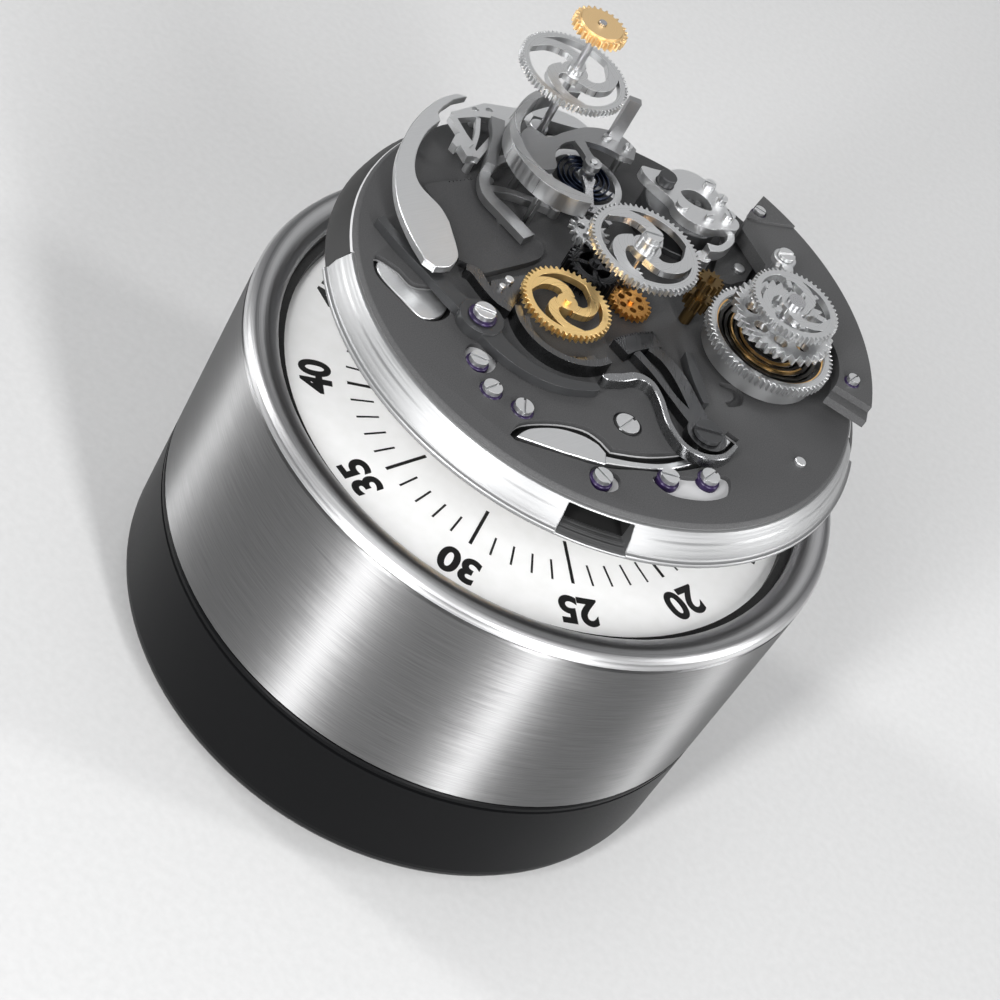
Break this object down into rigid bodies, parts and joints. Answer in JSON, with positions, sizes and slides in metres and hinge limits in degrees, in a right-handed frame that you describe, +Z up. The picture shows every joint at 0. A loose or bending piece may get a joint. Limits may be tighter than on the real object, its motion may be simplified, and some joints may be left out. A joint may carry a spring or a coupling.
{
  "type": "kitchen timer",
  "caption": "Round twist kitchen timer: a brushed steel drum with a white minute dial turns on a black base, with an open clockwork movement raised over the dial.",
  "frame": {"origin": "centre of the round footprint on the table, under the rubber foot ring", "axes": "+Z up along the drum's axis; the dial's 30 mark faces -Y and its 15 mark +X at rest"},
  "size_m": [0.078, 0.078, 0.087],
  "materials": {
    "black_base": "satin black moulded",
    "rubber": "matte",
    "screw_steel": "polished",
    "column_steel": "turned",
    "bell_chrome": "polished",
    "lever_steel": "dark polished",
    "brushed_sleeve": "brushed round the drum",
    "satin_bezel": "satin",
    "white_dial": "satin white",
    "black_liner": "matte",
    "hub_brass": "satin",
    "plate_grey": "fine blasted",
    "rim_silver": "satin",
    "dark_cover": "satin dark",
    "light_steel": "satin with bright edges",
    "violet_blue": "dark violet",
    "wheel_steel": "circular grained",
    "black_wheel": "blackened",
    "spring_steel": "oiled",
    "blued_spring": "blued",
    "old_brass": "aged",
    "orange_brass": "satin",
    "golden_brass": "satin",
    "pale_brass": "satin"
  },
  "bodies": {
    "root": {"base_cup": "black_base", "foot_ring": "rubber", "base_screws": "screw_steel", "centre_column": "column_steel", "column_collar": "column_steel", "bell": "bell_chrome", "bell_nut": "screw_steel", "hammer_post": "column_steel", "movement_plate": "plate_grey", "rim_ring": "rim_silver", "lower_bridge": "plate_grey", "barrel_bridge": "plate_grey", "bridge_corner": "plate_grey", "train_cover": "dark_cover", "wheel_cup": "lever_steel", "balance_bridge": "light_steel", "balance_cock": "light_steel", "regulator_cock": "light_steel", "regulator_block": "dark_cover", "left_blade": "light_steel", "gable_plates": "light_steel", "scallop_plate": "light_steel", "slot_blade": "light_steel", "spring_lug": "dark_cover", "ribbon_spring": "lever_steel", "stop_arm": "dark_cover", "screw_seats": "violet_blue", "countersunk_screws": "screw_steel", "flat_screws": "screw_steel", "locating_pins": "light_steel", "shoulder_screws": "screw_steel"},
    "drum": {"drum_sleeve": "brushed_sleeve", "bezel_ring": "satin_bezel", "dial_disc": "white_dial", "drum_liner": "black_liner", "drum_hub": "hub_brass", "hub_gear": "hub_brass", "trip_cam": "lever_steel"},
    "winding": {"winding_arbor": "column_steel", "ratchet_wheel": "wheel_steel", "winding_wheel": "wheel_steel"},
    "click": {"click": "light_steel"},
    "barrel": {"barrel": "wheel_steel", "mainspring": "spring_steel"},
    "idler": {"idler_pinion": "old_brass"},
    "centre": {"centre_wheel": "wheel_steel", "centre_screw": "screw_steel"},
    "third": {"third_wheel": "black_wheel"},
    "small_brass": {"small_brass_wheel": "orange_brass"},
    "brass": {"brass_wheel": "golden_brass"},
    "escape": {"escape_wheel": "wheel_steel"},
    "crown": {"crown_arbor": "column_steel", "counting_wheel": "wheel_steel", "crown_wheel": "pale_brass"},
    "balance": {"balance_wheel": "wheel_steel", "hairspring": "blued_spring"},
    "pallet": {"pallet_fork": "wheel_steel"},
    "setting": {"setting_lever": "dark_cover"},
    "fork": {"fork_lever": "lever_steel"},
    "hammer": {"hammer": "lever_steel"}
  },
  "joints": [
    {"name": "drum_turn", "type": "hinge", "parent": "root", "child": "drum", "pos_m": [0, 0, 0.046], "axis": [0, 0, 1], "range_deg": [0, 354]},
    {"name": "winding_turn", "type": "hinge", "parent": "root", "child": "winding", "pos_m": [0.0177, 0.00596, 0.06], "axis": [0, 0, 1], "range_deg": [-213, 1]},
    {"name": "click_swing", "type": "hinge", "parent": "root", "child": "click", "pos_m": [0.0147, 0.01716, 0.073], "axis": [0, 0, 1], "range_deg": [-3, 3], "stiffness_Nm_per_rad": 0.0002},
    {"name": "barrel_turn", "type": "hinge", "parent": "root", "child": "barrel", "pos_m": [0.0177, 0.00596, 0.069], "axis": [0, 0, 1], "continuous": true},
    {"name": "idler_turn", "type": "hinge", "parent": "root", "child": "idler", "pos_m": [0.00804, 0.00554, 0.069], "axis": [0, 0, 1], "continuous": true},
    {"name": "centre_turn", "type": "hinge", "parent": "root", "child": "centre", "pos_m": [-0.0004, 0.0045, 0.072], "axis": [0, 0, 1], "continuous": true},
    {"name": "third_turn", "type": "hinge", "parent": "root", "child": "third", "pos_m": [-0.00435, 0.00184, 0.068], "axis": [0, 0, 1], "continuous": true},
    {"name": "small_brass_turn", "type": "hinge", "parent": "root", "child": "small_brass", "pos_m": [0.00147, 0.00163, 0.067], "axis": [0, 0, 1], "continuous": true},
    {"name": "brass_turn", "type": "hinge", "parent": "root", "child": "brass", "pos_m": [-0.00496, -0.00691, 0.068], "axis": [0, 0, 1], "continuous": true},
    {"name": "escape_turn", "type": "hinge", "parent": "root", "child": "escape", "pos_m": [-0.00695, 0.00555, 0.069], "axis": [0, 0, 1], "continuous": true},
    {"name": "crown_turn", "type": "hinge", "parent": "root", "child": "crown", "pos_m": [-0.0183, 0.0185, 0.075], "axis": [0, 0, 1], "continuous": true},
    {"name": "balance_swing", "type": "hinge", "parent": "root", "child": "balance", "pos_m": [-0.0108, 0.016, 0.068], "axis": [0, 0, 1], "range_deg": [-150, 150]},
    {"name": "pallet_rock", "type": "hinge", "parent": "root", "child": "pallet", "pos_m": [-0.0084, 0.00949, 0.069], "axis": [0, 0, 1], "range_deg": [-6.1, 6.1]},
    {"name": "setting_swing", "type": "hinge", "parent": "root", "child": "setting", "pos_m": [-0.0123, -0.0156, 0.067], "axis": [0, 0, 1], "range_deg": [-2, 2]},
    {"name": "fork_swing", "type": "hinge", "parent": "root", "child": "fork", "pos_m": [0.0162, -0.0123, 0.067], "axis": [0, 0, 1], "range_deg": [-1.5, 1.5]},
    {"name": "hammer_swing", "type": "hinge", "parent": "root", "child": "hammer", "pos_m": [-0.02594, -0.00944, 0.018], "axis": [0, 0, 1], "range_deg": [0, 5], "stiffness_Nm_per_rad": 0.002}
  ],
  "couplings": [
    {"joint": "winding_turn", "follows": "drum_turn", "ratio": -0.6},
    {"joint": "idler_turn", "follows": "barrel_turn", "ratio": -5.3846},
    {"joint": "centre_turn", "follows": "barrel_turn", "ratio": 1.1667},
    {"joint": "third_turn", "follows": "barrel_turn", "ratio": -0.5},
    {"joint": "small_brass_turn", "follows": "barrel_turn", "ratio": 0.66667},
    {"joint": "brass_turn", "follows": "barrel_turn", "ratio": 0.30435},
    {"joint": "escape_turn", "follows": "barrel_turn", "ratio": 1.4},
    {"joint": "pallet_rock", "follows": "balance_swing", "ratio": 0.04}
  ]
}
